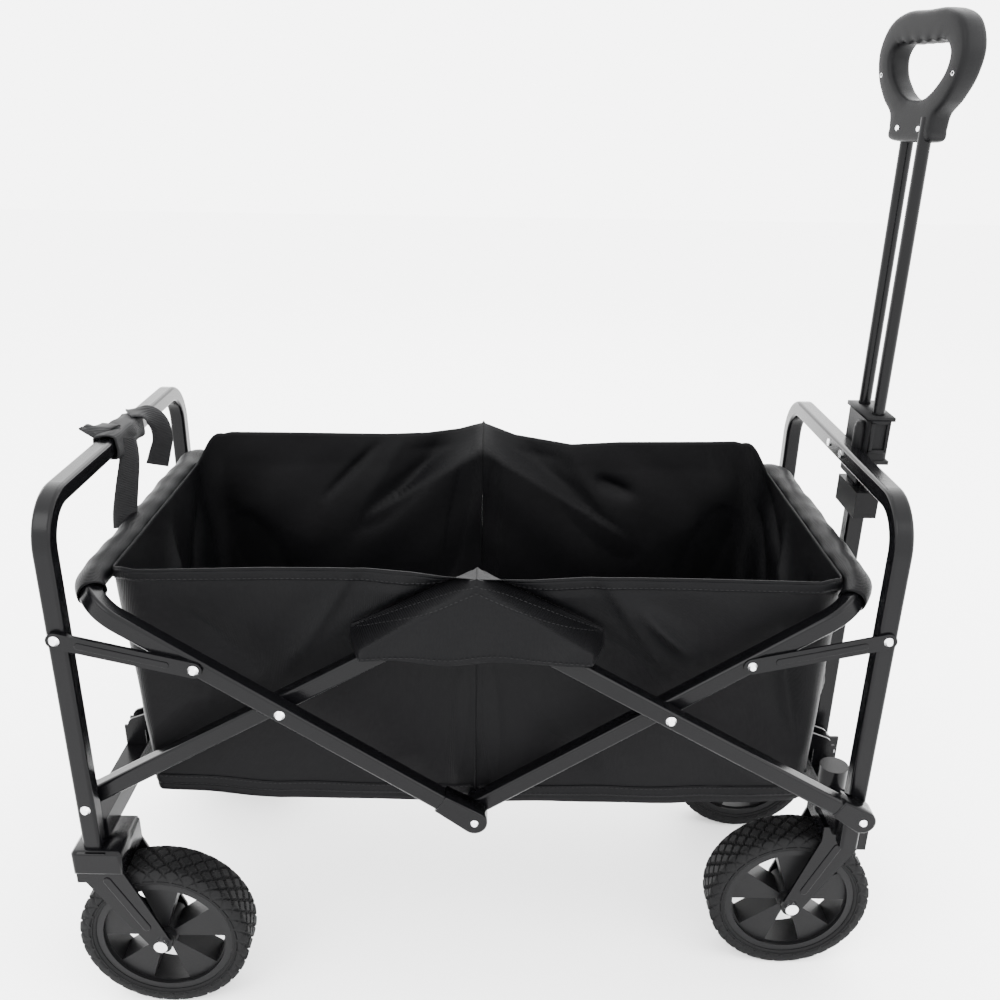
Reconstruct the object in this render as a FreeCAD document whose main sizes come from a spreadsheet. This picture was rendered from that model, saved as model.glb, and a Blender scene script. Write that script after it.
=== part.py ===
"""Folding camp wagon: scissor-linked steel frame, fabric tub, four wheels and a pull handle.

Millimetres.  +X runs along the wagon towards the pull handle, +Z is up and the ground is z = 0.
The wagon is centred on Y = 0.  Sizes along X are counted from the folding mid-plane, and every
piece is then moved a little so that the origin is the middle of the whole wagon on the ground.
"""
import FreeCAD, Part
import os
import re

SIZES = {
    # square frame tube
    "tube": 18, "tube_edge": 3.5, "bend": 42,
    # the two layers that the frame tubes lie in, measured from the centre plane
    "outer_y": 208, "inner_y": 187,
    # leg hoops
    "leg_x": 382, "foot_z": 207, "hoop_z": 572,
    # scissor pivots
    "cross_x": 184, "cross_z": 370, "low_z": 249.5, "high_z": 490.5,
    "hip_z": 257, "hip_x": 382, "cradle_x": 361, "cradle_rise": 236.3,
    "link_z": 448, "reach_x": 259, "reach_z": 419.5,
    # rivets
    "rivet": 3, "bore": 3.05, "head": 5, "small_head": 4.5, "head_high": 2.6,
    # brace links
    "outer_link": 4, "inner_link": 2.2,
    # square bar under each end
    "beam": 23, "beam_z": 222,
    # floor rails and the tube under the floor
    "rail": 14, "rail_z": 268, "rail_x": 356, "rear_rail_y": 58, "front_rail_y": 76, "spreader": 7.5,
    # wheels
    "wheel": 89, "tread": 46, "seat": 71, "rim": 64, "hub": 11, "axle": 5, "blade": 15.5,
    "rear_axle_x": 325, "rear_wheel_y": 190, "front_axle_x": 350, "caster_y": 122, "plate": 3,
    # pull handle
    "pull_x": 404.5, "pull_z": 220, "post": 18, "post_top": 600, "pull_bolt": 4,
    "collar_z": 568, "collar_high": 47, "collar_wide": 66, "collar_thick": 25,
    "slim": 6.25, "slim_y": 21.5, "slim_low": 505, "grip_z": 873, "grip_high": 111,
    "grip_wide": 128, "grip_thick": 29,
    # fabric tub
    "tub_x": 346, "tub_y": 170, "tub_low": 250, "tub_high": 508, "cloth": 4, "floor_z": 277,
}

doc = FreeCAD.newDocument("camp_wagon")
sheet = doc.addObject("Spreadsheet::Sheet", "dims")
for row, (alias, value) in enumerate(SIZES.items(), start=1):
    sheet.set(f"A{row}", alias)
    sheet.set(f"B{row}", str(value))
    sheet.setAlias(f"B{row}", alias)
doc.recompute()

PARTS = []


def formula(text):
    """Turn a size name or a sum of them into an expression on the sheet."""
    return re.sub(r"[a-z_]+[a-z]", lambda word: f"dims.{word[0]}" if word[0] in SIZES else word[0], str(text))


def bind(thing, **values):
    """Drive properties of an object from the sheet."""
    for name, text in values.items():
        thing.setExpression(name, formula(text))
    return thing


def put(thing, x, y, z, axis=(0, -1, 0), angle="0"):
    """Place an object; a positive angle about (0, -1, 0) lifts its own +X towards +Z."""
    spot = f"vector({formula(x)}; {formula(y)}; {formula(z)})"
    turn = f"rotation(vector({axis[0]}; {axis[1]}; {axis[2]}); {formula(angle)})"
    thing.setExpression("Placement", f"placement({spot}; {turn})")
    return thing


def new(kind, label):
    thing = doc.addObject(kind, label)
    thing.Label = label
    return thing


def box(label, low, high):
    """Box between two corners."""
    thing = new("Part::Box", label)
    spans = [f"({top}) - ({bottom})" for bottom, top in zip(low, high)]
    bind(thing, Length=spans[0], Width=spans[1], Height=spans[2])
    return put(thing, *low)


def rod(label, start, along, radius, length):
    """Cylinder from a start point along X, Y or Z."""
    thing = new("Part::Cylinder", label)
    bind(thing, Radius=radius, Height=length)
    axis, angle = {"X": ((0, 1, 0), "90"), "Y": ((1, 0, 0), "-90"), "Z": ((0, 0, 1), "0")}[along]
    return put(thing, *start, axis=axis, angle=angle)


def fuse(label, pieces):
    thing = new("Part::MultiFuse", label)
    thing.Shapes = pieces
    thing.Refine = True
    doc.recompute()
    return thing


def cut(label, body, tools):
    thing = new("Part::Cut", label)
    thing.Base = body
    thing.Tool = tools[0] if len(tools) == 1 else fuse(label + "_tools", tools)
    doc.recompute()
    return thing


def soften(label, body, radius, wanted):
    """Round the edges of a body that the wanted test picks."""
    doc.recompute()
    thing = new("Part::Fillet", label)
    thing.Base = body
    thing.Edges = [(i, radius, radius) for i, edge in enumerate(body.Shape.Edges, start=1) if wanted(edge)]
    doc.recompute()
    return thing


def group(label, things):
    """One of the wagon's pieces, moved so that the origin lies midway between the ends of the wheels."""
    for thing in things:
        thing.Label = thing.Name + "_form"
    whole = new("Part::Compound", label + "_piece")
    whole.Links = things
    whole.setExpression(".Placement.Base.x", formula("(rear_axle_x - front_axle_x) / 2"))
    whole.Label = label
    PARTS.append(whole)
    return whole


def part(label, thing):
    return group(label, [thing])


def runs_along_x(edge):
    direction = edge.tangentAt(edge.FirstParameter)
    return abs(direction.x) > 0.99 and edge.Length > 40


def u_tube(label, length, half, start_end):
    """Flat U of square tube: two legs along +X joined by a cross piece at x = length."""
    reach = f"({length})"
    pieces = []
    for side, sign in (("far", 1), ("near", -1)):
        low = f"{sign} * ({half}) - tube / 2"
        pieces.append(box(f"{label}_{side}_leg", ("0", low, "-tube / 2"), (f"{reach} - bend", f"{low} + tube", "tube / 2")))
        ring = []
        for name, radius in (("out", "bend + tube / 2"), ("in", "bend - tube / 2")):
            disc = new("Part::Cylinder", f"{label}_{side}_{name}")
            bind(disc, Radius=radius, Height="tube", Angle="90")
            put(disc, f"{reach} - bend", f"{sign} * (({half}) - bend)", "-tube / 2", (0, 0, 1), "0" if sign > 0 else "-90")
            ring.append(disc)
        pieces.append(cut(f"{label}_{side}_bend", ring[0], ring[1:]))
    straight = f"({half}) - bend"
    pieces.append(box(f"{label}_top", (f"{reach} - tube / 2", f"-({straight})", "-tube / 2"), (f"{reach} + tube / 2", straight, "tube / 2")))
    bent = fuse(label + "_bent", pieces)
    radius = SIZES["tube_edge"]
    return soften(label + "_soft", bent, radius, lambda edge: edge.BoundBox.ZLength < 1 and edge.BoundBox.XMax - start_end > 0.5)


def bar(label, x0, z0, x1, z1, y, thick, high, edge_radius=0.0, ends=(True, True)):
    """Straight bar from one point to another in the XZ plane, with round ends."""
    dx, dz = f"(({x1}) - ({x0}))", f"(({z1}) - ({z0}))"
    length = f"sqrt({dx} * {dx} + {dz} * {dz})"
    slab = new("Part::Box", label + "_slab")
    bind(slab, Length=length, Width=thick, Height=high)
    shaped = soften(label + "_soft", slab, edge_radius, runs_along_x) if edge_radius else slab
    corner_x = f"({x0}) + ({high}) / 2 * {dz} / {length}"
    corner_z = f"({z0}) - ({high}) / 2 * {dx} / {length}"
    put(shaped, corner_x, f"({y}) - ({thick}) / 2", corner_z, (0, -1, 0), f"atan2({dz}; {dx})")
    if edge_radius:
        slab.setExpression("Placement", None)
    pieces = [shaped]
    for on, x, z, name in ((ends[0], x0, z0, "start"), (ends[1], x1, z1, "end")):
        if on:
            pieces.append(rod(f"{label}_{name}", (x, f"({y}) - ({thick}) / 2", z), "Y", f"({high}) / 2", thick))
    return fuse(label + "_bar", pieces) if len(pieces) > 1 else shaped


def bores(label, body, points, radius="bore"):
    """Through holes along Y at points of the XZ plane."""
    holes = [rod(f"{label}_hole_{i}", (x, "-260", z), "Y", radius, "520") for i, (x, z) in enumerate(points)]
    return cut(label, body, holes)


def rivet(label, side, x, z, inner, outer, head="head", both=True):
    """Round rivet along Y through the layers from inner to outer, with low round heads."""
    sign = 1 if side == "far" else -1
    low, high = (f"({inner})", f"({outer})") if sign > 0 else (f"-({outer})", f"-({inner})")
    pieces = [rod(label + "_shank", (x, low, z), "Y", "rivet", f"{high} - {low}")]
    tips = [(high, 1)] if sign > 0 else [(low, -1)]
    if both:
        tips = [(high, 1), (low, -1)]
    for i, (y, way) in enumerate(tips):
        cap = new("Part::Cone", f"{label}_head_{i}")
        bind(cap, Radius1=head, Radius2=f"({head}) * 0.6", Height="head_high")
        put(cap, x, y, z, (1, 0, 0), "-90" if way > 0 else "90")
        pieces.append(cap)
    return fuse(label, pieces)


# ---- Leg hoops: square tube bent over each end, carrying the wheels at the foot.

for end, sign, half in (("rear", -1, "outer_y"), ("front", 1, "inner_y")):
    hoop = u_tube(f"{end}_hoop_form", "hoop_z - foot_z", half, 0.0)
    put(hoop, f"{sign} * leg_x", "0", "foot_z", (0, -1, 0), "90")
    part(f"{end}_leg_hoop", bores(f"{end}_leg_hoop", hoop, [(f"{sign} * hip_x", "hip_z"), (f"{sign} * leg_x", "link_z")]))

# ---- Cradles: each a U of the same tube that starts at the bottom pivot and carries one end of the tub.

for end, sign, half in (("rear", -1, "outer_y"), ("front", 1, "inner_y")):
    slope = "atan2(cradle_rise; cradle_x)"
    form = u_tube(f"{end}_cradle_form", "sqrt(cradle_x * cradle_x + cradle_rise * cradle_rise)", half, 0.0)
    put(form, "0", "0", "low_z", (0, -1, 0), slope if sign > 0 else f"180 deg - {slope}")
    eyes = [rod(f"{end}_cradle_{side}_eye", ("0", f"{way} * {half} - tube / 2", "low_z"), "Y", "tube / 2", "tube")
            for side, way in (("far", 1), ("near", -1))]
    whole = fuse(f"{end}_cradle_whole", [form] + eyes)
    part(f"{end}_cradle", bores(f"{end}_cradle", whole, [("0", "low_z"), (f"{sign} * cross_x", "cross_z")]))

# ---- Arms: straight tubes from the foot of a leg up to the top pivot under the tub's flap.

for end, sign, layer in (("rear", -1, "inner_y"), ("front", 1, "outer_y")):
    for side, way in (("far", 1), ("near", -1)):
        label = f"{end}_{side}_arm"
        y = f"{way} * {layer}"
        tip_x, tip_z = f"{sign} * 14", "cross_z + (cross_x - 14) * (cross_z - hip_z) / (hip_x - cross_x)"
        beam = bar(label + "_tube", f"{sign} * hip_x", "hip_z", tip_x, tip_z, y, "tube", "tube", SIZES["tube_edge"])
        ear = bar(label + "_ear", tip_x, tip_z, "0", "high_z", y, "tube", "tube - 2")
        whole = fuse(label + "_whole", [beam, ear])
        holes = [(f"{sign} * hip_x", "hip_z"), (f"{sign} * cross_x", "cross_z"), ("0", "high_z")]
        part(label, bores(label, whole, holes))

# ---- Brace links: flat steel between each leg and its cradle.

for end, sign, low, thick in (("rear", -1, "outer_y + tube / 2 + 0.5", "outer_link"), ("front", 1, "inner_y + tube / 2 + 0.3", "inner_link")):
    for side, way in (("far", 1), ("near", -1)):
        label = f"{end}_{side}_link"
        y = f"{way} * ({low} + {thick} / 2)"
        strip = bar(label + "_strip", f"{sign} * leg_x", "link_z", f"{sign} * reach_x", "reach_z", y, thick, "16")
        part(label, bores(label, strip, [(f"{sign} * leg_x", "link_z"), (f"{sign} * reach_x", "reach_z")]))

# ---- Rivets, grouped by the piece that carries them.

INNER_FACE, OUTER_FACE = "inner_y - tube / 2", "outer_y + tube / 2"
SIDES = ("far", "near")


def rivets(label, points):
    """One node of rivets; every point is (x, z, inner, outer, head) and is made on both sides."""
    made = []
    for i, (x, z, inner, outer, head, both) in enumerate(points):
        for side in SIDES:
            made.append(rivet(f"{label}_{i}_{side}", side, x, z, inner, outer, head, both))
    return group(label, made)


rivets("rear_frame_rivets", [
    ("-hip_x", "hip_z", INNER_FACE + " - 0.3", OUTER_FACE + " + 0.2", "head", True),
    ("-leg_x", "link_z", "outer_y - tube / 2 - 0.2", OUTER_FACE + " + 0.7 + outer_link", "head", True)])
rivets("front_frame_rivets", [
    ("hip_x", "hip_z", INNER_FACE + " - 0.2", OUTER_FACE + " + 0.3", "head", True),
    ("leg_x", "link_z", INNER_FACE + " - 0.2", "inner_y + tube / 2 + 0.5 + inner_link", "small_head", True)])
rivets("rear_arm_rivets", [
    ("-cross_x", "cross_z", INNER_FACE + " - 0.2", OUTER_FACE + " + 0.3", "head", True),
    ("0", "high_z", INNER_FACE + " - 0.2", OUTER_FACE + " + 0.3", "head", True)])
rivets("front_arm_rivets", [("cross_x", "cross_z", INNER_FACE + " - 0.3", OUTER_FACE + " + 0.2", "head", True)])
rivets("bottom_rivets", [("0", "low_z", INNER_FACE + " - 0.3", OUTER_FACE + " + 0.2", "head", True)])
rivets("rear_link_rivets", [("-reach_x", "reach_z", OUTER_FACE + " + 0.3", OUTER_FACE + " + 0.5 + outer_link", "head", False)])
rivets("front_link_rivets", [("reach_x", "reach_z", "inner_y + tube / 2 + 0.2", "inner_y + tube / 2 + 0.3 + inner_link", "small_head", False)])

# ---- Spreader tube between the two bottom pivots.

part("bottom_spreader", rod("bottom_spreader", ("0", "-(inner_y - tube / 2 - 4)", "low_z"), "Y", "spreader", "2 * (inner_y - tube / 2 - 4)"))

# ---- End beams: square bars welded between the feet of each hoop, with upright cheeks for the floor rails.

BEAMS = {}

for end, sign, half in (("rear", -1, "outer_y - tube / 2"), ("front", 1, "inner_y - tube / 2")):
    low = (f"{sign} * leg_x - beam / 2", f"-({half})", "beam_z - beam / 2")
    high = (f"{sign} * leg_x + beam / 2", half, "beam_z + beam / 2")
    beam = box(f"{end}_beam_form", low, high)
    if end == "front":
        gaps = [rod(f"front_beam_gap_{side}", ("leg_x", f"{way} * caster_y", "200"), "Z", "15", "60")
                for side, way in (("far", 1), ("near", -1))]
        beam = cut("front_beam_cut", beam, gaps)
    BEAMS[end] = beam

# ---- Floor rails: four bars hinged between those cheeks, crossing side by side at the middle.

for end, sign, y in (("rear", -1, "rear_rail_y"), ("front", 1, "front_rail_y")):
    made = []
    for side, way in (("far", 1), ("near", -1)):
        label = f"{end}_{side}_rail"
        form = bar(label + "_form", f"{sign} * rail_x", "rail_z", f"{-sign} * 8", "rail_z", f"{way} * {y}", "rail", "rail")
        made.append(bores(label, form, [(f"{sign} * rail_x", "rail_z"), ("0", "rail_z")]))
    group(f"{end}_floor_rails", made)
    cheeks, pins = [], []
    for side, way in (("far", 1), ("near", -1)):
        for i, step in enumerate((-1, 1)):
            gap = f"({way} * {y} + {step} * (rail / 2 + 2))"
            name = f"{end}_rail_bracket_{side}_{i}"
            foot = box(name + "_foot", (f"{sign} * leg_x - 11", f"{gap} - 1.5", "beam_z + beam / 2"), (f"{sign} * leg_x + 11", f"{gap} + 1.5", "rail_z - 10"))
            arm = bar(name + "_arm", f"{sign} * (leg_x - 2)", "rail_z - 9", f"{sign} * rail_x", "rail_z", gap, "3", "18")
            cheeks.append(bores(name, fuse(name + "_whole", [foot, arm]), [(f"{sign} * rail_x", "rail_z")]))
        pins.append(rod(f"{end}_rail_pin_{side}", (f"{sign} * rail_x", f"{way} * {y} - rail / 2 - 5", "rail_z"), "Y", "rivet", "rail + 10"))
    part(f"{end}_beam", fuse(f"{end}_beam_whole", [BEAMS[end]] + cheeks))
    group(f"{end}_rail_pins", pins)
group("rail_hub_bolts", [rod(f"rail_hub_{side}", ("0", "rear_rail_y - 10" if way > 0 else "-rear_rail_y - 10.7", "rail_z"), "Y", "rivet", "20.7")
      for side, way in (("far", 1), ("near", -1))])

# ---- Wheels: tyre with a rounded shoulder, and a rim with five blades between five openings.


def wheel(end, side, x, y):
    """One tyre and one rim, turning about an axle along Y through (x, y, wheel)."""
    label = f"{end}_{side}"
    disc = rod(label + "_tyre_disc", (x, f"{y} - tread / 2", "wheel"), "Y", "wheel", "tread")
    round_disc = soften(label + "_tyre_round", disc, 9.0, lambda edge: len(edge.Vertexes) == 1)
    hole = rod(label + "_tyre_seat", (x, f"{y} - tread", "wheel"), "Y", "seat", "2 * tread")
    part(label + "_tyre", cut(label + "_tyre", round_disc, [hole]))
    barrel = rod(label + "_rim_barrel", (x, f"{y} - tread / 2 + 3", "wheel"), "Y", "seat", "tread - 6")
    dish = [rod(label + f"_rim_dish_{i}", (x, f"{y} + {low}", "wheel"), "Y", "rim", "30") for i, low in enumerate(("blade", "(-blade - 30)"))]
    shell = cut(label + "_rim_shell", barrel, dish)
    slots = []
    for i in range(5):
        wedge = new("Part::Cylinder", f"{label}_rim_wedge_{i}")
        bind(wedge, Radius="rim - 2", Height="40", Angle="36")
        core = new("Part::Cylinder", f"{label}_rim_core_{i}")
        bind(core, Radius="hub + 2", Height="40")
        slot = cut(f"{label}_rim_slot_{i}", wedge, [core])
        put(slot, "0", "0", "0", (0, 0, 1), f"{72 * i}")
        slots.append(slot)
    cutter = fuse(label + "_rim_slots", slots)
    put(cutter, x, f"{y} - 20", "wheel", (1, 0, 0), "-90")
    bladed = cut(label + "_rim_blades", shell, [cutter])
    boss = rod(label + "_rim_boss", (x, f"{y} - tread / 2 + 1", "wheel"), "Y", "hub", "tread - 2")
    bored = fuse(label + "_rim_whole", [bladed, boss])
    bore = rod(label + "_rim_bore", (x, f"{y} - tread", "wheel"), "Y", "axle + 0.05", "2 * tread")
    part(label + "_rim", cut(label + "_rim", bored, [bore]))


def axle(label, x, y):
    """Bolt through a wheel and the two plates of its fork."""
    shaft = rod(label + "_shaft", (x, f"{y} - 30", "wheel"), "Y", "axle", "60")
    ends = [rod(f"{label}_head_{i}", (x, f"{y} + {step}", "wheel"), "Y", "7", "4") for i, step in enumerate(("(-34)", "30"))]
    return fuse(label, [shaft] + ends)


def fork_plate(label, lean, run, y):
    """Tapered side plate with a round end at the axle, standing on the axle and leaning along X."""
    blade = new("Part::Wedge", label + "_blade")
    bind(blade, Ymin="0", Ymax=run, Zmin="0", Zmax="plate", Z2min="0", Z2max="plate")
    bind(blade, Xmin="-11", Xmax="11", X2min="-21", X2max="21")
    put(blade, "0", "plate / 2", "0", (1, 0, 0), "90")
    tip = rod(label + "_tip", ("0", "-plate / 2", "0"), "Y", "11", "plate")
    whole = fuse(label, [blade, tip])
    return put(whole, lean[0], y, "wheel", (0, -1, 0), lean[1])


def fork(label, top_x, axle_x, y, low, high, half_long):
    """Sheet-steel housing with two sloping plates down to the axle."""
    rise, shift = f"({low} + 4 - wheel)", f"(({axle_x}) - ({top_x}))"
    run = f"sqrt({rise} * {rise} + {shift} * {shift})"
    roof = box(label + "_roof", (f"{top_x} - {half_long}", f"{y} - 30", low), (f"{top_x} + {half_long}", f"{y} + 30", high))
    plates = [fork_plate(f"{label}_plate_{i}", (axle_x, f"atan2({shift}; {rise})"), run, f"{y} + {step} * 28.5")
              for i, step in enumerate((-1, 1))]
    cheeks = [box(f"{label}_cheek_{i}", (f"{top_x} - {half_long}", f"{y} + {a}", f"{low} - 12"), (f"{top_x} + {half_long}", f"{y} + {b}", low))
              for i, (a, b) in enumerate(((-30, -27), (27, 30)))]
    whole = fuse(label + "_whole", [roof] + plates + cheeks)
    hole = rod(label + "_axle_hole", (axle_x, f"{y} - 60", "wheel"), "Y", "axle", "120")
    return cut(label, whole, [hole])


for side, way in (("far", 1), ("near", -1)):
    y = f"{way} * rear_wheel_y"
    wheel("rear", side, "-rear_axle_x", y)
    housing = fork(f"rear_{side}_fork_form", "-leg_x + 4", "-rear_axle_x", y, "182", "foot_z", "23")
    rim_low = (f"-leg_x - 14", f"{way} * outer_y - 14", "foot_z")
    rim_high = (f"-leg_x + 14", f"{way} * outer_y + 14", "foot_z + 1")
    part(f"rear_{side}_fork", fuse(f"rear_{side}_fork", [housing, cut(f"rear_{side}_collar", box(f"rear_{side}_collar_block", rim_low, rim_high),
         [box(f"rear_{side}_collar_gap", (f"-leg_x - 9.1", f"{way} * outer_y - 9.1", "foot_z - 1"), (f"-leg_x + 9.1", f"{way} * outer_y + 9.1", "foot_z + 9"))])]))

for side, way in (("far", 1), ("near", -1)):
    y = f"{way} * caster_y"
    wheel("front", side, "front_axle_x", y)
    housing = fork(f"front_{side}_fork_form", "leg_x + 13", "front_axle_x", y, "182", "199", "24")
    king = rod(f"front_{side}_king", ("leg_x", y, "199"), "Z", "7", "50")
    washer = rod(f"front_{side}_washer", ("leg_x", y, "199"), "Z", "13", "3")
    part(f"front_{side}_caster_fork", fuse(f"front_{side}_caster_fork", [housing, king, washer]))

group("rear_axle_bolts", [axle(f"rear_{side}_axle", "-rear_axle_x", f"{way} * rear_wheel_y") for side, way in (("far", 1), ("near", -1))])
for side, way in (("far", 1), ("near", -1)):
    part(f"front_{side}_axle_bolt", axle(f"front_{side}_axle_bolt", "front_axle_x", f"{way} * caster_y"))

sleeves = []
for side, way in (("far", 1), ("near", -1)):
    post = rod(f"caster_sleeve_post_{side}", ("leg_x", f"{way} * caster_y", "202.5"), "Z", "15", "55")
    hollow = rod(f"caster_sleeve_hollow_{side}", ("leg_x", f"{way} * caster_y", "202"), "Z", "7.05", "48")
    sleeves.append(cut(f"caster_sleeve_{side}", post, [hollow]))
group("caster_sleeves", sleeves)

# ---- Pull handle: base bracket, post, plastic collar, two slim tubes on a slider, and the grip.

back = box("handle_bracket_foot", ("leg_x + beam / 2", "-37", "204"), ("pull_x + 11", "37", "207"))
ears = [box(f"handle_bracket_ear_{i}", ("leg_x + beam / 2", f"{a}", "204"), ("pull_x + 11", f"{b}", "236")) for i, (a, b) in enumerate(((-37, -34), (34, 37)))]
bracket = fuse("handle_bracket_whole", [back] + ears)
part("handle_bracket", cut("handle_bracket", bracket, [rod("handle_bracket_hole", ("pull_x", "-50", "pull_z"), "Y", "pull_bolt + 0.05", "100")]))
bolt = rod("handle_bolt_shaft", ("pull_x", "-37", "pull_z"), "Y", "pull_bolt", "74")
knobs = [rod("handle_bolt_head", ("pull_x", "-41", "pull_z"), "Y", "7", "4"), rod("handle_bolt_nut", ("pull_x", "37", "pull_z"), "Y", "7", "4")]
part("handle_bolt", fuse("handle_bolt", [bolt] + knobs))

post = soften("post_soft", box("post_form", ("pull_x - post / 2", "-post / 2", "pull_z"), ("pull_x + post / 2", "post / 2", "post_top")), 2.5,
              lambda edge: edge.BoundBox.ZLength > 100)
barrel = rod("post_barrel", ("pull_x", "-33.5", "pull_z"), "Y", "9", "67")
part("handle_post", cut("handle_post", fuse("post_whole", [post, barrel]), [rod("post_bore", ("pull_x", "-50", "pull_z"), "Y", "pull_bolt + 0.05", "100")]))

block = soften("collar_soft", box("collar_block", ("pull_x - collar_thick / 2", "-collar_wide / 2", "collar_z"), ("pull_x + collar_thick / 2", "collar_wide / 2", "collar_z + collar_high")), 6.0,
               lambda edge: edge.BoundBox.ZLength > 20)
seats = [box("collar_post_seat", ("pull_x - post / 2", "-post / 2", "collar_z - 1"), ("pull_x + post / 2", "post / 2", "post_top"))]
for side, way in (("far", 1), ("near", -1)):
    seats.append(rod(f"collar_bore_{side}", ("pull_x", f"{way} * slim_y", "collar_z - 1"), "Z", "slim + 0.05", "collar_high + 2"))
part("handle_collar", cut("handle_collar", block, seats))

group("slim_tubes", [rod(f"slim_tube_{side}", ("pull_x", f"{way} * slim_y", "slim_low + 3"), "Z", "slim", "grip_z + 22 - slim_low - 3") for side, way in (("far", 1), ("near", -1))])
slide_block = box("slider_block", ("pull_x - 12", "-31", "slim_low"), ("pull_x + 12", "31", "slim_low + 28"))
slide_cuts = [box("slider_gap", ("pull_x - post / 2 - 0.1", "-post / 2 - 0.1", "slim_low - 1"), ("pull_x + post / 2 + 0.1", "post / 2 + 0.1", "slim_low + 30"))]
for side, way in (("far", 1), ("near", -1)):
    slide_cuts.append(rod(f"slider_seat_{side}", ("pull_x", f"{way} * slim_y", "slim_low + 3"), "Z", "slim", "40"))
part("handle_slider", cut("handle_slider", slide_block, slide_cuts))


def twisted(thing, shift="0"):
    """Turn a piece of the grip a little about the middle of the handle."""
    return put(thing, f"{shift} + pull_x - pull_x * cos(15 deg)", "-pull_x * sin(15 deg)", "0", (0, 0, 1), "15")


def grip_half(label, start, thick):
    """One moulded shell of the grip: crown, shoulders and stem round the hole for the hand."""
    shoulder_y, shoulder_z = "(grip_wide / 2 - 42)", "grip_z + grip_high - 42"
    pieces = [rod(f"{label}_shoulder_{side}", (start, f"{way} * {shoulder_y}", shoulder_z), "X", "42", thick)
              for side, way in (("far", 1), ("near", -1))]
    end = f"{start} + {thick}"
    pieces.append(box(label + "_crown", (start, f"-{shoulder_y}", "grip_z + grip_high - 60"), (end, shoulder_y, "grip_z + grip_high")))
    pieces.append(box(label + "_stem", (start, "-33", "grip_z"), (end, "33", "grip_z + 50")))
    solid = twisted(fuse(label + "_solid", pieces))
    hand = [rod(f"{label}_hole_{side}", (f"{start} - 1", f"{way} * 18", "grip_z + 69"), "X", "18", f"{thick} + 2")
            for side, way in (("far", 1), ("near", -1))]
    hand.append(box(label + "_hole_top", (f"{start} - 1", "-36", "grip_z + 69"), (f"{end} + 1", "36", "grip_z + grip_high - 26")))
    hand.append(rod(label + "_hole_low", (f"{start} - 1", "0", "grip_z + 56"), "X", "19", f"{thick} + 2"))
    room = twisted(fuse(label + "_hand_room", hand))
    seats = [rod(f"{label}_seat_{side}", ("pull_x", f"{way} * slim_y", "grip_z - 1"), "Z", "slim", "23")
             for side, way in (("far", 1), ("near", -1))]
    return cut(label, solid, [room] + seats)


part("grip_back_shell", grip_half("grip_back_shell", "pull_x - grip_thick / 2", "grip_thick / 2"))
part("grip_front_shell", grip_half("grip_front_shell", "pull_x", "grip_thick / 2"))
screw_spots = [(46, 90), (-46, 90), (55, 58), (-55, 58), (30, 12), (-30, 12)]
screws = group("grip_screws", [rod(f"grip_screw_{i}", ("pull_x - grip_thick / 2 - 1", f"{y}", f"grip_z + {z}"), "X", "3", "1")
                               for i, (y, z) in enumerate(screw_spots)])
twisted(screws, "(rear_axle_x - front_axle_x) / 2")

# ---- Clip on the front hoop that the post snaps into.

pad = box("clip_pad", ("leg_x + tube / 2", "-26", "hoop_z - 30"), ("leg_x + tube / 2 + 0.8", "26", "hoop_z + 6"))
jaws = [box(f"clip_jaw_{i}", ("leg_x + tube / 2", f"{a}", "hoop_z - 30"), ("pull_x + 6", f"{b}", "hoop_z - 9")) for i, (a, b) in enumerate(((-12.4, -9.4), (9.4, 12.4)))]
part("hoop_clip", fuse("hoop_clip", [pad] + jaws))
group("clip_rivets", [rod(f"clip_rivet_{side}", ("leg_x - tube / 2 - 1.5", f"{y}", "hoop_z"), "X", "4", "1.5") for side, y in (("far", 20), ("near", -20))])

# ---- Fabric tub: side and end walls, floor, and the openings under it for the floor rails.



def upright(edge):
    return edge.BoundBox.XLength < 0.1 and edge.BoundBox.YLength < 0.1


tub = soften("tub_outside", box("tub_block", ("-tub_x", "-tub_y", "tub_low"), ("tub_x", "tub_y", "tub_high")), 30.0, upright)
inside = soften("tub_inside", box("tub_inside_block", ("-tub_x + cloth", "-tub_y + cloth", "floor_z + cloth"), ("tub_x - cloth", "tub_y - cloth", "tub_high + 1")), 26.0, upright)
under = soften("tub_under", box("tub_under_block", ("-tub_x + cloth", "-tub_y + cloth", "tub_low - 1"), ("tub_x - cloth", "tub_y - cloth", "floor_z")), 26.0, upright)
notch = box("tub_notch", ("-12", "-tub_y - 1", "tub_low - 1"), ("12", "tub_y + 1", "low_z + 12"))
slots = [box(f"tub_end_slot_{i}", (a, "-90", "tub_low - 1"), (b, "90", "floor_z")) for i, (a, b) in enumerate((("-tub_x - 1", "-tub_x + 20"), ("tub_x - 20", "tub_x + 1")))]
part("fabric_tub", cut("fabric_tub", tub, [inside, under, notch] + slots))

# ---- Tunnel hems: the ends of the tub wrapped round the cross piece of each cradle.

for end, sign in (("rear", -1), ("front", 1)):
    long_side = "(outer_y - bend - 8)" if end == "rear" else "(inner_y - bend - 8)"
    tunnel = rod(f"{end}_hem_out", (f"{sign} * cradle_x", f"-{long_side}", "low_z + cradle_rise"), "Y", "15.5", f"2 * {long_side}")
    inner_hole = rod(f"{end}_hem_in", (f"{sign} * cradle_x", f"-{long_side} - 1", "low_z + cradle_rise"), "Y", "12.6", f"2 * {long_side} + 2")
    slim_side = box(f"{end}_hem_side", ("leg_x - tube / 2 - 0.4" if sign > 0 else "-leg_x - 60", "-250", "400"), ("leg_x + 60" if sign > 0 else "-leg_x + tube / 2 + 0.4", "250", "600"))
    near_tub = box(f"{end}_hem_tub", ("-tub_x - 0.3", "-250", "400"), ("tub_x + 0.3", "250", "600"))
    part(f"{end}_tunnel_hem", cut(f"{end}_tunnel_hem", tunnel, [inner_hole, slim_side, near_tub]))

# ---- Corner flaps stitched over the top pivots.

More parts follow.
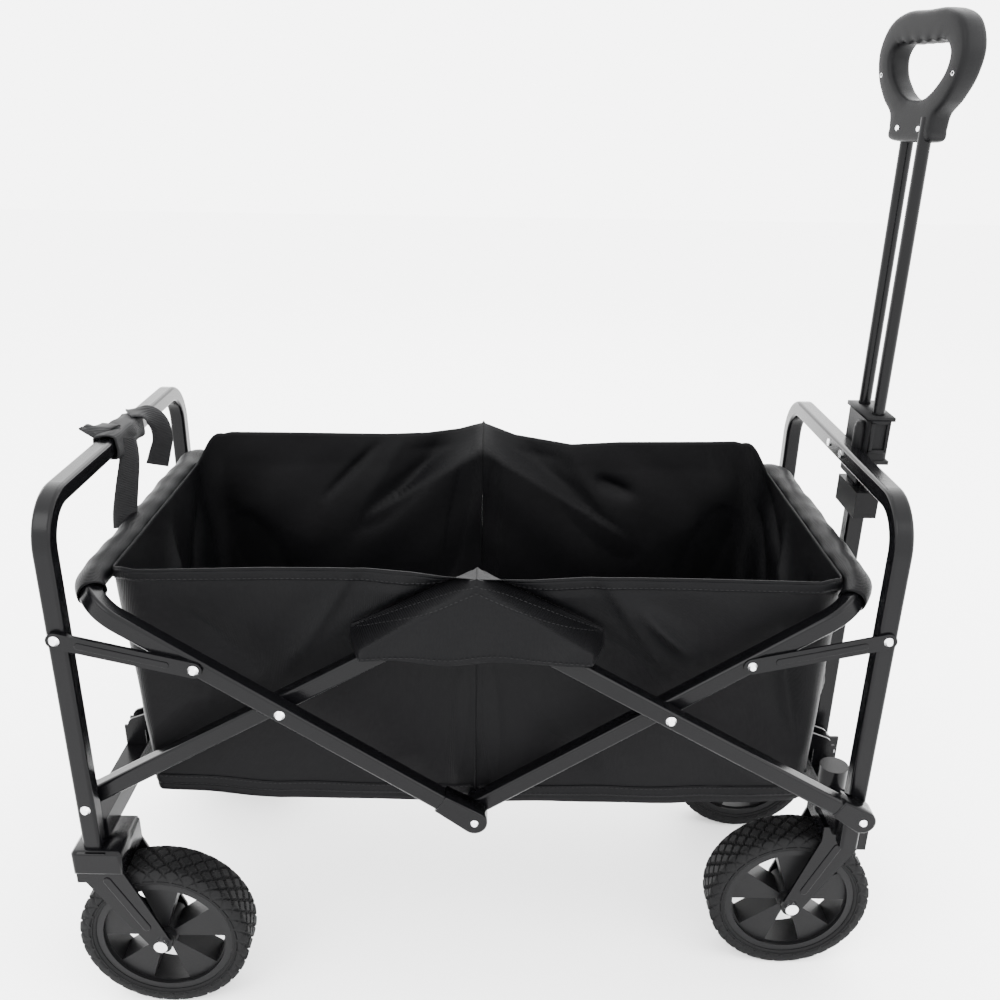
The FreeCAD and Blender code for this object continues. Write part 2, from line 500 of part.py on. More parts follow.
for side, way in (("far", 1), ("near", -1)):
    y0 = "outer_y + tube / 2 + 4"
    flap = new("Part::Wedge", f"{side}_flap_form")
    bind(flap, Xmin="-118", Xmax="118", Ymin="0", Ymax="70", Zmin="0", Zmax="2.5", X2min="-2", X2max="2", Z2min="0", Z2max="2.5")
    put(flap, "0", f"{way} * ({y0}) + {'2.5' if way > 0 else '0'}", "434", (1, 0, 0), "90")
    part(f"{side}_flap", flap)

# ---- Strap wrapped over the rear hoop.

band_out = box("strap_out", ("-leg_x - 13", "8", "hoop_z - 14"), ("-leg_x + 13", "58", "hoop_z + 14"))
band_in = box("strap_in", ("-leg_x - 10", "7", "hoop_z - 10"), ("-leg_x + 10", "59", "hoop_z + 10"))
part("hoop_strap", cut("hoop_strap", band_out, [band_in]))

doc.recompute()
for thing in doc.Objects:
    if "Invalid" in thing.State or "Error" in thing.State:
        raise RuntimeError(f"{thing.Label} did not build")
for thing in PARTS:
    if thing.Shape.isNull() or not thing.Shape.isValid():
        raise RuntimeError(f"{thing.Label} has no valid shape")

os.makedirs("parts", exist_ok=True)
for thing in PARTS:
    thing.Shape.exportStep(f"parts/{thing.Label}.step")
    print(thing.Label, len(thing.Shape.Solids), round(thing.Shape.Volume))
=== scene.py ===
import math
import bmesh
import bpy
import numpy as np
from mathutils import Matrix, Vector


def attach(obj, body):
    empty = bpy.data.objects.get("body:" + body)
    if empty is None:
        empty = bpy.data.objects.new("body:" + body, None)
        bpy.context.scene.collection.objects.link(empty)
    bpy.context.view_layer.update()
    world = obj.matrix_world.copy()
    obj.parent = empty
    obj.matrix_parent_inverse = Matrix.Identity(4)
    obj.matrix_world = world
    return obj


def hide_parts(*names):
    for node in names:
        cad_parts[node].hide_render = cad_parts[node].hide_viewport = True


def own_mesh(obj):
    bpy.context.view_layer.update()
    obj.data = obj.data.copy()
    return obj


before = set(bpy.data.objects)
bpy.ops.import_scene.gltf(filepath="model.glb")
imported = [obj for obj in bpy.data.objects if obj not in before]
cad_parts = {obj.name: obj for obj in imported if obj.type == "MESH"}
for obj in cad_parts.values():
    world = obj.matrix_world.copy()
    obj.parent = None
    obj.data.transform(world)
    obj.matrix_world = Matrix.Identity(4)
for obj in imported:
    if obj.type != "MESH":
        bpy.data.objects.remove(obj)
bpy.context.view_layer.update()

# ==== Camera and studio ==========================================================================
# A plain pale room: a large floor that the wagon stands on, soft overhead light, and a camera at
# standing height in front of the wagon's long side.

MIDDLE = -0.0125          # the folding plane along X, in the wagon's own frame


def aim(eye, down, yaw, roll):
    """Camera matrix from its place and three small angles in radians."""
    side = Vector((math.cos(yaw), math.sin(yaw), 0))
    ahead = Vector((-math.sin(yaw), math.cos(yaw), 0))
    up = math.sin(down) * ahead + math.cos(down) * Vector((0, 0, 1))
    look = math.cos(down) * ahead - math.sin(down) * Vector((0, 0, 1))
    right = math.cos(roll) * side + math.sin(roll) * up
    top = -math.sin(roll) * side + math.cos(roll) * up
    turned = Matrix((right, top, -look)).transposed().to_4x4()
    return Matrix.Translation(eye) @ turned


lens = bpy.data.cameras.new("wagon_camera")
lens.sensor_width = 36
lens.lens = 37.15
lens.shift_x = 0.0061
lens.shift_y = 0.0459
camera = bpy.data.objects.new("wagon_camera", lens)
camera.matrix_world = aim(Vector((0.0006, -1.0418, 0.9037)), 0.40807, -0.00195, 0.01653)
bpy.context.collection.objects.link(camera)
bpy.context.scene.camera = camera

world = bpy.data.worlds.new("studio")
world.use_nodes = True
world.node_tree.nodes["Background"].inputs["Color"].default_value = (1, 1, 1, 1)
world.node_tree.nodes["Background"].inputs["Strength"].default_value = 6.5
bpy.context.scene.world = world

LAMP_AIM = Vector((0, 0, 0.4))
for lamp_name, place, size, power in (("key", (-1.6, -2.2, 2.8), 1.6, 75),
                                      ("fill", (2.2, -1.6, 2.0), 1.8, 45),
                                      ("back", (0.3, 2.4, 2.4), 2.0, 60)):
    lamp = bpy.data.lights.new(lamp_name, "AREA")
    lamp.size = size
    lamp.energy = power
    lamp_object = bpy.data.objects.new(lamp_name, lamp)
    turned = (LAMP_AIM - Vector(place)).to_track_quat("-Z", "Y").to_matrix().to_4x4()
    lamp_object.matrix_world = Matrix.Translation(place) @ turned
    bpy.context.collection.objects.link(lamp_object)


class Flow:
    """A shader socket that can be used in sums and products."""

    def __init__(self, nodes, socket):
        self.nodes, self.socket = nodes, socket

    def _math(self, kind, *values):
        return node(self.nodes, "ShaderNodeMath", {"operation": kind}, dict(enumerate(values)))

    def __add__(self, other):
        return self._math("ADD", self, other)

    __radd__ = __add__

    def __mul__(self, other):
        return self._math("MULTIPLY", self, other)

    __rmul__ = __mul__

    def __sub__(self, other):
        return self._math("SUBTRACT", self, other)

    def __rsub__(self, other):
        return self._math("SUBTRACT", other, self)

    def wave(self):
        return self._math("SINE", self)

    def clamp(self, low, high):
        return self._math("MINIMUM", self._math("MAXIMUM", self, low), high)


def node(nodes, kind, settings, values, out=0):
    """Add one node: its settings first, then a value or a link for each of its inputs."""
    made = nodes.new(kind)
    for name, setting in settings.items():
        setattr(made, name, setting)
    for name, value in values.items():
        if isinstance(value, Flow):
            nodes.id_data.links.new(value.socket, made.inputs[name])
        else:
            made.inputs[name].default_value = value
    return Flow(nodes, made.outputs[out])


def finish_of(name, dark, light, rough, grain, bump, metal=0.0, gloss=0.5, detail=None):
    """A surface whose colour runs between two tones with its grain, and whose roughness follows it."""
    surface = bpy.data.materials.new(name)
    surface.use_nodes = True
    nodes = surface.node_tree.nodes
    shader = nodes["Principled BSDF"]
    place = node(nodes, "ShaderNodeTexCoord", {}, {}, "Object")
    fine = node(nodes, "ShaderNodeTexNoise", {}, {"Vector": place, "Scale": grain, "Detail": 3.0}, "Fac")
    broad = node(nodes, "ShaderNodeTexNoise", {}, {"Vector": place, "Scale": 9.0, "Detail": 2.0}, "Fac")
    height = fine if detail is None else detail(nodes, place, fine)
    tone = (0.35 * fine + 0.65 * broad).clamp(0, 1)
    colour = node(nodes, "ShaderNodeMix", {"data_type": "RGBA"},
                  {"Factor": tone, 6: (*dark, 1), 7: (*light, 1)}, 2)
    links = surface.node_tree.links
    links.new(colour.socket, shader.inputs["Base Color"])
    links.new((rough[0] + (rough[1] - rough[0]) * broad).socket, shader.inputs["Roughness"])
    shader.inputs["Metallic"].default_value = metal
    shader.inputs["Specular IOR Level"].default_value = gloss
    pressed = node(nodes, "ShaderNodeBump", {}, {"Height": height, "Strength": bump, "Distance": 0.0006})
    links.new(pressed.socket, shader.inputs["Normal"])
    return surface


def paint(surface, *names):
    """Give CAD pieces a finish."""
    for name in names:
        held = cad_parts[name]
        held.data.materials.clear()
        held.data.materials.append(surface)


def as_mesh(name, points, faces, surface, smooth=True):
    """A mesh piece from its points and faces."""
    data = bpy.data.meshes.new(name)
    data.from_pydata([tuple(p) for p in points], [], [tuple(f) for f in faces])
    data.polygons.foreach_set("use_smooth", [smooth] * len(data.polygons))
    data.materials.append(surface)
    data.update()
    made = bpy.data.objects.new(name, data)
    bpy.context.collection.objects.link(made)
    return made


def strip_faces(rows, columns, round_rows=False, round_columns=False):
    """Four-sided faces over a grid of points stored row by row."""
    last_row, last_column = rows - (not round_rows), columns - (not round_columns)
    i, j = np.meshgrid(np.arange(last_row), np.arange(last_column), indexing="ij")
    k, m = (i + 1) % rows, (j + 1) % columns
    return np.stack([i * columns + j, i * columns + m, k * columns + m, k * columns + j], -1).reshape(-1, 4)


def skin_faces(columns, rows):
    """Faces of a closed skin whose columns run up one side and down the other, closed at both ends."""
    faces = [tuple(f) for f in strip_faces(columns, 2 * rows, False, True)]
    caps = [(i, i + 1, 2 * rows - 2 - i, 2 * rows - 1 - i) for i in range(rows - 1)]
    last = (columns - 1) * 2 * rows
    return faces + caps + [tuple(i + last for i in cap[::-1]) for cap in caps]


def catmull_rom(p0, p1, p2, p3, f):
    """Point between p1 and p2 of a smooth curve, at a share f of the way."""
    square = 2 * p0 - 5 * p1 + 4 * p2 - p3
    cube = 3 * p1 - p0 - 3 * p2 + p3
    return 0.5 * (2 * p1 + (p2 - p0) * f + square * f ** 2 + cube * f ** 3)


floor_finish = finish_of("pale_floor", (0.93, 0.93, 0.93), (0.95, 0.95, 0.95), (0.8, 0.9), 40.0, 0.0)
floor = as_mesh("studio_floor", [(-8, -8, 0), (8, -8, 0), (8, 8, 0), (-8, 8, 0)], [(0, 1, 2, 3)],
                floor_finish)

# ==== Steel frame ================================================================================
# Square steel tube, bent cold over each end and across each cradle, drilled for rivets and powder
# coated black: low gloss with the faint ripple of baked powder.  The small bolts are zinc plated.

powder_coat = finish_of("powder_coat", (0.0010, 0.0010, 0.0012), (0.0021, 0.0021, 0.0024), (0.16, 0.24),
                        900.0, 0.16, gloss=0.09)
paint(powder_coat, "rear_leg_hoop", "front_leg_hoop", "rear_cradle", "front_cradle", "rear_far_arm",
      "rear_near_arm",
      "front_far_arm", "front_near_arm", "rear_far_link", "rear_near_link", "front_far_link",
      "front_near_link",
      "bottom_spreader", "rear_beam", "front_beam", "rear_floor_rails", "front_floor_rails", "rear_far_fork",
      "rear_near_fork", "front_far_caster_fork", "front_near_caster_fork", "caster_sleeves", "handle_bracket",
      "handle_post", "slim_tubes")

bright_zinc = finish_of("bright_zinc", (0.55, 0.55, 0.56), (0.78, 0.78, 0.79), (0.18, 0.32), 300.0, 0.1,
                        metal=1.0)
paint(bright_zinc, "rear_frame_rivets", "front_frame_rivets", "rear_arm_rivets", "front_arm_rivets",
      "bottom_rivets",
      "rear_link_rivets", "front_link_rivets", "rear_rail_pins", "front_rail_pins", "rail_hub_bolts",
      "rear_axle_bolts",
      "front_far_axle_bolt", "front_near_axle_bolt", "handle_bolt", "grip_screws", "clip_rivets")

# ==== Plastic fittings ===========================================================================
# Moulded black plastic: the collar that clamps the two slim tubes, the slider under it and the clip
# on the front hoop.

matte_plastic = finish_of("matte_plastic", (0.0016, 0.0016, 0.0018), (0.0030, 0.0030, 0.0033), (0.40, 0.52),
                          1400.0, 0.3, gloss=0.07)
paint(matte_plastic, "handle_collar", "handle_slider", "hoop_clip")

# ==== Wheels =====================================================================================
# Moulded rubber tyres with rows of diamond blocks, pressed on plastic rims whose five flat blades
# alternate with five openings.

rubber = finish_of("tyre_rubber", (0.0022, 0.0022, 0.0024), (0.0042, 0.0042, 0.0044), (0.55, 0.72), 700.0,
                   0.35, gloss=0.07)
rim_finish = finish_of("rim_plastic", (0.0022, 0.0022, 0.0024), (0.0044, 0.0044, 0.0047), (0.36, 0.48), 600.0,
                       0.2, gloss=0.09)
WHEEL_RADIUS, TYRE_WIDE, SEAT, TREAD_DEEP = 0.089, 0.046, 0.0711, 0.0028
BLOCKS_ROUND, BLOCKS_ACROSS = 32, 2.0


def tyre(name, x, y):
    """One tyre: a closed ring whose outer band carries diamond blocks that wrap on to the shoulders."""
    round_steps, tread_steps = 440, 40
    half = TYRE_WIDE / 2
    across = np.linspace(-1, 1, tread_steps)
    turn = np.linspace(0, 2 * np.pi, round_steps, endpoint=False)
    a, s = np.meshgrid(turn, across, indexing="ij")
    reach = np.clip(np.abs(s) * 1.24 - 0.62, 0, None) / 0.62
    drop = 0.0105 * reach ** 2.1
    width = half * np.sin(np.clip(s * 1.24, -1.24, 1.24) * np.pi / 2.48)
    lane = s * BLOCKS_ACROSS
    cell = a * BLOCKS_ROUND / (2 * np.pi)
    first = np.abs((cell + lane) % 1.0 - 0.5) * 2
    second = np.abs((cell - lane) % 1.0 - 0.5) * 2
    groove = np.minimum(1 - first, 1 - second)
    block = np.clip((groove - 0.13) / 0.12, 0, 1)
    height = TREAD_DEEP * block * np.clip(1.35 - 0.35 * reach, 0, 1)
    radius = WHEEL_RADIUS - TREAD_DEEP + height - drop
    wall = [(0.0765, 0.95), (0.0760, 0.985), (0.0750, 0.985), (0.0745, 0.94), (0.0725, 0.94), (SEAT, 0.90)]
    rings_r = [np.full(round_steps, r) for r, _ in wall]
    rings_w = [np.full(round_steps, w * half) for _, w in wall]
    rr = np.concatenate([np.stack(rings_r[::-1], 1), radius, np.stack(rings_r, 1)], 1)
    ww = np.concatenate([np.stack([-w for w in rings_w[::-1]], 1), width, np.stack(rings_w, 1)], 1)
    points = np.stack([x + rr * np.sin(a[:, :1]), y + ww, WHEEL_RADIUS + rr * np.cos(a[:, :1])], -1)
    faces = strip_faces(round_steps, rr.shape[1], True, True)
    return as_mesh(name, points.reshape(-1, 3), faces, rubber, smooth=False)


for end, side, x, y in (("rear", "far", -0.325, 0.190), ("rear", "near", -0.325, -0.190),
                        ("front", "far", 0.350, 0.122), ("front", "near", 0.350, -0.122)):
    ring = tyre(f"{end}_{side}_knobbly_tyre", x + MIDDLE, y)
    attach(ring, f"{end}_{side}_wheel")
    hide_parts(f"{end}_{side}_tyre")
    paint(rim_finish, f"{end}_{side}_rim")

# ==== Pivot brackets and pressed ribs ============================================================
# Pressed steel caps wrap the tube ends at the bottom and hoop pivots.  The brace links and the fork
# plates carry a long raised rib, pressed into the sheet to stiffen it.


def pressed_plate(name, outline, y0, y1, round_edge, surface):
    """A flat plate with a softened outer edge: an outline in X and Z, and its two faces along Y."""
    outline = np.array(outline)
    middle = outline.mean(0)
    ahead, behind = np.roll(outline, -1, 0) - outline, outline - np.roll(outline, 1, 0)
    normal = np.stack([ahead[:, 1], -ahead[:, 0]], 1) / np.linalg.norm(ahead, axis=1)[:, None]
    normal = normal + np.stack([behind[:, 1], -behind[:, 0]], 1) / np.linalg.norm(behind, axis=1)[:, None]
    normal /= np.linalg.norm(normal, axis=1)[:, None]
    if ((outline - middle) * normal).sum() < 0:
        outline, normal = outline[::-1], -normal[::-1]
    way = 1 if y1 > y0 else -1
    levels = [(y0, 0.0)] + [(y1 - way * round_edge * (1 - math.sin(t)), round_edge * (1 - math.cos(t)))
                            for t in (0, 0.5, 1.0, math.pi / 2)]
    count = len(outline)
    points = [(p[0] - inset * n[0], y, p[1] - inset * n[1]) for y, inset in levels
              for p, n in zip(outline, normal)]
    faces = [tuple(f) for f in strip_faces(len(levels), count, False, True)]
    faces += [tuple(range(count))[::-1], tuple((len(levels) - 1) * count + i for i in range(count))]
    if way > 0:
        faces = [f[::-1] for f in faces]
    made = as_mesh(name, points, faces, surface)
    made.data.polygons.foreach_set("use_smooth", [len(p.vertices) == 4 for p in made.data.polygons])
    return made


def pill(start, end, half):
    """Outline of a long slot with round ends."""
    lean = math.atan2(end[1] - start[1], end[0] - start[0])
    arc = np.linspace(-math.pi / 2, math.pi / 2, 10)
    far_end = [(end[0] + half * math.cos(lean + t), end[1] + half * math.sin(lean + t)) for t in arc]
    near_end = [(start[0] - half * math.cos(lean + t), start[1] - half * math.sin(lean + t)) for t in arc]
    return far_end + near_end


def cap_outline(pivot, toward, length, wide, end_wide):
    """Outline of a cap: round about its pivot, then narrowing along the tube."""
    lean = math.atan2(toward[1] - pivot[1], toward[0] - pivot[0])
    arc = [(pivot[0] + wide * math.cos(lean + t), pivot[1] + wide * math.sin(lean + t))
           for t in np.linspace(math.pi / 2, 3 * math.pi / 2, 16)]
    tail = [(pivot[0] + length * math.cos(lean) - side * end_wide * math.sin(lean),
             pivot[1] + length * math.sin(lean) + side * end_wide * math.cos(lean)) for side in (-1, 1)]
    return arc + tail


def join_as(name, pieces):
    """Join meshes that move together into one piece."""
    points, faces, start = [], [], 0
    for piece in pieces:
        points += [tuple(v.co) for v in piece.data.vertices]
        faces += [tuple(start + i for i in p.vertices) for p in piece.data.polygons]
        start += len(piece.data.vertices)
    smooth = [p.use_smooth for piece in pieces for p in piece.data.polygons]
    made = as_mesh(name, points, faces, pieces[0].data.materials[0])
    made.data.polygons.foreach_set("use_smooth", smooth)
    for piece in pieces:
        bpy.data.objects.remove(piece)
    return made


def fitted(piece, body):
    """Fix a piece to its body."""
    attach(piece, body)
    return piece


BOTTOM_PIVOT, TOP_PIVOT, CROSSING = (0.0, 0.2495), (0.0, 0.4905), (-0.184, 0.370)
FOOT_PIVOT, HOOP_PIVOT, LINK_PIVOT = (0.382, 0.257), (0.382, 0.448), (0.259, 0.4195)
CAP_INNER, CAP_OUTER = 0.1985, 0.2186
for body, pivot, toward, length in (("rear_cradle", BOTTOM_PIVOT, CROSSING, 0.040),
                                    ("front_arms", FOOT_PIVOT, TOP_PIVOT, 0.030)):
    caps = []
    for way in (-1, 1):
        shape = [(x + MIDDLE, z) for x, z in cap_outline(pivot, toward, length, 0.0128, 0.0101)]
        caps.append(pressed_plate(f"{body}_cap", shape, way * CAP_INNER, way * CAP_OUTER, 0.0022,
                                  powder_coat))
    fitted(join_as(f"{body}_pivot_caps", caps), body)

for body, sign, face in (("rear_links", -1, 0.2215), ("front_links", 1, 0.1985)):
    ribs = []
    for way in (-1, 1):
        a = np.array((sign * HOOP_PIVOT[0], HOOP_PIVOT[1]))
        b = np.array((sign * LINK_PIVOT[0], LINK_PIVOT[1]))
        start, stop = a + (b - a) * 0.17, a + (b - a) * 0.80
        shape = [(x + MIDDLE, z) for x, z in pill(start, stop, 0.0032)]
        ribs.append(pressed_plate(f"{body}_rib", shape, way * (face - 0.0005), way * (face + 0.0011), 0.0008,
                                  powder_coat))
    fitted(join_as(f"{body}_ribs", ribs), body)

for body, top_x, axle_x, axle_y in (("rear_frame", -0.378, -0.325, -0.190),
                                    ("rear_frame", -0.378, -0.325, 0.190),
                                    ("near_caster", 0.395, 0.350, -0.122),
                                    ("far_caster", 0.395, 0.350, 0.122)):
    ribs = []
    a, b = np.array((axle_x, 0.089)), np.array((top_x, 0.186))
    for way in (-1, 1):
        start, stop = a + (b - a) * 0.24, a + (b - a) * 0.86
        shape = [(x + MIDDLE, z) for x, z in pill(start, stop, 0.0042)]
        ribs.append(pressed_plate(f"{body}_plate_rib", shape, axle_y + way * 0.0298, axle_y + way * 0.0312,
                                  0.0009, powder_coat))
    piece = join_as(f"{body}_{'near' if axle_y < 0 else 'far'}_plate_ribs", ribs)
    fitted(piece, body)

for side, way in (("near", -1), ("far", 1)):
    lip = [(x + MIDDLE, z) for x, z in ((-0.4035, 0.1800), (-0.3525, 0.1800), (-0.3525, 0.2055),
                                        (-0.3560, 0.2088), (-0.4000, 0.2088), (-0.4035, 0.2055))]
    shoulder = pressed_plate(f"rear_{side}_housing_shoulder", lip, way * 0.1620, way * 0.2212, 0.0045,
                             powder_coat)
    fitted(shoulder, "rear_frame")

# ==== Grip =======================================================================================
# A hollow D moulded in two shells of black plastic, screwed together round the tops of the two slim
# tubes.  It is pear shaped, thick at the crown, with finger ridges under the top bar.

GRIP_X, GRIP_LOW, GRIP_TWIST = 0.392, 0.873, math.radians(15)


def loop_points(knots, count):
    """Even closed curve through a few knots (Catmull-Rom)."""
    knots = np.array(knots)
    t = np.linspace(0, len(knots), count, endpoint=False)
    i, f = t.astype(int), (t % 1)[:, None]
    p0, p1, p2, p3 = (knots[(i + k) % len(knots)] for k in (-1, 0, 1, 2))
    return catmull_rom(p0, p1, p2, p3, f)


GRIP_STEPS, SECTION_STEPS = 216, 28


def rounded_ring(inner, outer, half_thick, power=0.42):
    """A ring between two loops of points, softly rounded: its points in the flat and their depth."""
    turn = np.linspace(0, 2 * np.pi, SECTION_STEPS, endpoint=False)
    c, s = np.cos(turn), np.sin(turn)
    across, deep = np.sign(c) * np.abs(c) ** power, np.sign(s) * np.abs(s) ** power
    middle, half = (inner + outer) / 2, (outer - inner) / 2
    flat = middle[:, None, :] + half[:, None, :] * across[None, :, None]
    depth = half_thick[:, None] * deep[None, :]
    return flat, depth


outer_knots = [(0, 0.1110), (0.030, 0.1108), (0.052, 0.1010), (0.0635, 0.0790), (0.0600, 0.0560),
               (0.0480, 0.0370), (0.0345, 0.0240),
               (0.0320, 0.0100), (0.0300, 0.0012), (0, 0.0), (-0.0300, 0.0012), (-0.0320, 0.0100),
               (-0.0345, 0.0240), (-0.0480, 0.0370),
               (-0.0600, 0.0560), (-0.0635, 0.0790), (-0.052, 0.1010), (-0.030, 0.1108)]
inner_knots = [(0, 0.0850), (0.018, 0.0850), (0.034, 0.0840), (0.0425, 0.0740), (0.0390, 0.0590),
               (0.0270, 0.0460), (0.0180, 0.0400),
               (0.0110, 0.0375), (0.0060, 0.0368), (0, 0.0366), (-0.0060, 0.0368), (-0.0110, 0.0375),
               (-0.0180, 0.0400), (-0.0270, 0.0460),
               (-0.0390, 0.0590), (-0.0425, 0.0740), (-0.034, 0.0840), (-0.018, 0.0850)]
ring_out, ring_in = loop_points(outer_knots, GRIP_STEPS), loop_points(inner_knots, GRIP_STEPS)
top_bar = np.clip((ring_in[:, 1] - 0.080) / 0.004, 0, 1)
crown = top_bar * np.clip((0.034 - np.abs(ring_in[:, 0])) / 0.004, 0, 1)
ring_in[:, 1] -= 0.0009 * crown * (1 - np.cos(ring_in[:, 0] * 2 * np.pi / 0.0135))
bulk = 0.0108 + 0.0022 * np.clip((ring_out[:, 1] - 0.02) / 0.09, 0, 1)
flat, depth = rounded_ring(ring_in, ring_out, bulk)
grip_points = np.stack([depth, flat[..., 0], GRIP_LOW + flat[..., 1]], -1).reshape(-1, 3)
spin = Matrix.Rotation(GRIP_TWIST, 3, "Z")
grip_points = grip_points @ np.array(spin).T + np.array((GRIP_X, 0, 0))
grip = as_mesh("moulded_grip", grip_points, strip_faces(GRIP_STEPS, SECTION_STEPS, True, True)[:, ::-1],
               matte_plastic)
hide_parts("grip_back_shell", "grip_front_shell")
fitted(grip, "handle_upper")


def screw_head(place, axis, radius):
    """A small screw head: a shallow dome with a sunk middle."""
    steps = 14
    rings = [(1.0, 0.0), (1.0, 0.35), (0.86, 0.62), (0.62, 0.74), (0.50, 0.66), (0.0, 0.60)]
    side = Vector(axis).orthogonal().normalized()
    up = Vector(axis).cross(side)
    points = [Vector(place) + radius * (r * (math.cos(t) * side + math.sin(t) * up)) + radius * h
              * Vector(axis)
              for r, h in rings[:-1] for t in np.linspace(0, 2 * math.pi, steps, endpoint=False)]
    points.append(Vector(place) + radius * rings[-1][1] * Vector(axis))
    faces = [tuple(f) for f in strip_faces(5, steps, False, True)]
    faces += [(4 * steps + i, 4 * steps + (i + 1) % steps, 5 * steps) for i in range(steps)]
    faces.append(tuple(range(steps))[::-1])
    return as_mesh("screw_head", points, faces, bright_zinc)


facing = spin @ Vector((-1, 0, 0))
spots = ((0.044, 0.0925), (-0.044, 0.0925), (0.0535, 0.058), (-0.0520, 0.058), (0.0160, 0.012),
         (-0.0160, 0.012))
heads = [screw_head(spin @ Vector((-0.0098, y, 0)) + Vector((GRIP_X, 0, GRIP_LOW + z)), facing, 0.0027)
         for y, z in spots]
screws = join_as("grip_screw_heads", heads)
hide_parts("grip_screws")
fitted(screws, "handle_upper")

# ==== Collar of the handle =======================================================================
# The moulded collar clamps the slim tubes to the post; a round spring button sits in a barrel on its
# inner side and a framed window shows the post on the near side.

frame_ring = []
for x0, x1, z0, z1 in ((-0.0095, 0.0095, 0.578, 0.5815), (-0.0095, 0.0095, 0.6085, 0.612),
                       (-0.0095, -0.006, 0.5795, 0.6105), (0.006, 0.0095, 0.5795, 0.6105)):
    shape = [(0.392 + x0, z0), (0.392 + x1, z0), (0.392 + x1, z1), (0.392 + x0, z1)]
    frame_ring.append(pressed_plate("window_bar", shape, -0.0325, -0.0358, 0.0008, matte_plastic))
fitted(join_as("collar_window", frame_ring), "handle_lower")


def turned_post(name, x, y, profile, surface, steps=28):
    """A piece turned about an upright axis from a profile of radius and height, closed at both ends."""
    turn = np.linspace(0, 2 * np.pi, steps, endpoint=False)
    points = [(x + r * math.cos(t), y + r * math.sin(t), z) for r, z in profile for t in turn]
    faces = [tuple(f) for f in strip_faces(len(profile), steps, False, True)]
    faces += [tuple(range(steps))[::-1], tuple((len(profile) - 1) * steps + i for i in range(steps))]
    return as_mesh(name, points, faces, surface)


barrel = turned_post("collar_barrel", 0.3765, -0.020,
                     [(0.0050, 0.574), (0.0062, 0.576), (0.0062, 0.602), (0.0050, 0.604), (0.0050, 0.606),
                      (0.0036, 0.608)], matte_plastic)
fitted(barrel, "handle_lower")
collar_rim = [pressed_plate("collar_rim",
                            [(0.3782, z), (0.4058, z), (0.4058, z + 0.004), (0.3782, z + 0.004)], -0.0345,
                            0.0345, 0.0010, matte_plastic) for z in (0.5655, 0.6112)]
fitted(join_as("collar_rims", collar_rim), "handle_lower")

# ==== Fabric tub =================================================================================
# Coated black polyester: a wall panel round each half of the tub, hung from the cross piece of its
# cradle and pulled out over the top pivots.  It crumples as the wagon folds; each half here is fixed
# to a body of its own and keeps its shape.


def weave(nodes, place, fine):
    """Fine plain weave with a little unevenness."""
    parts = node(nodes, "ShaderNodeSeparateXYZ", {}, {"Vector": place}, "X")
    along = parts + Flow(nodes, parts.socket.node.outputs["Y"])
    up = Flow(nodes, parts.socket.node.outputs["Z"])
    return 0.3 * (along * 5200.0).wave() + 0.3 * (up * 5200.0).wave() + 0.6 * fine


cloth_finish = finish_of("black_cloth", (0.0008, 0.0008, 0.0010), (0.0018, 0.0018, 0.0021), (0.40, 0.52),
                         260.0, 0.40, gloss=0.05, detail=weave)
WALL_LOW, END_X, SIDE_Y, CLOTH = 0.243, 0.347, 0.1725, 0.0012
RIMS = {("rear", "near"): [(0, 0.2190, 0.515), (0.03, 0.205, 0.511), (0.06, 0.190, 0.508),
                           (0.105, 0.176, 0.505), (0.20, 0.174, 0.503), (0.30, 0.176, 0.500),
                           (0.347, 0.175, 0.499)],
        ("front", "near"): [(0, 0.2190, 0.515), (0.05, 0.203, 0.508), (0.105, 0.186, 0.504),
                            (0.20, 0.182, 0.502), (0.30, 0.178, 0.499), (0.347, 0.175, 0.497)],
        ("rear", "far"): [(0, 0.2190, 0.529), (0.03, 0.208, 0.524), (0.07, 0.198, 0.521),
                          (0.12, 0.190, 0.521), (0.25, 0.186, 0.522), (0.31, 0.178, 0.524),
                          (0.347, 0.174, 0.516)],
        ("front", "far"): [(0, 0.2190, 0.529), (0.04, 0.205, 0.518), (0.11, 0.190, 0.511),
                           (0.17, 0.187, 0.516), (0.28, 0.184, 0.519), (0.31, 0.178, 0.522),
                           (0.347, 0.174, 0.514)]}
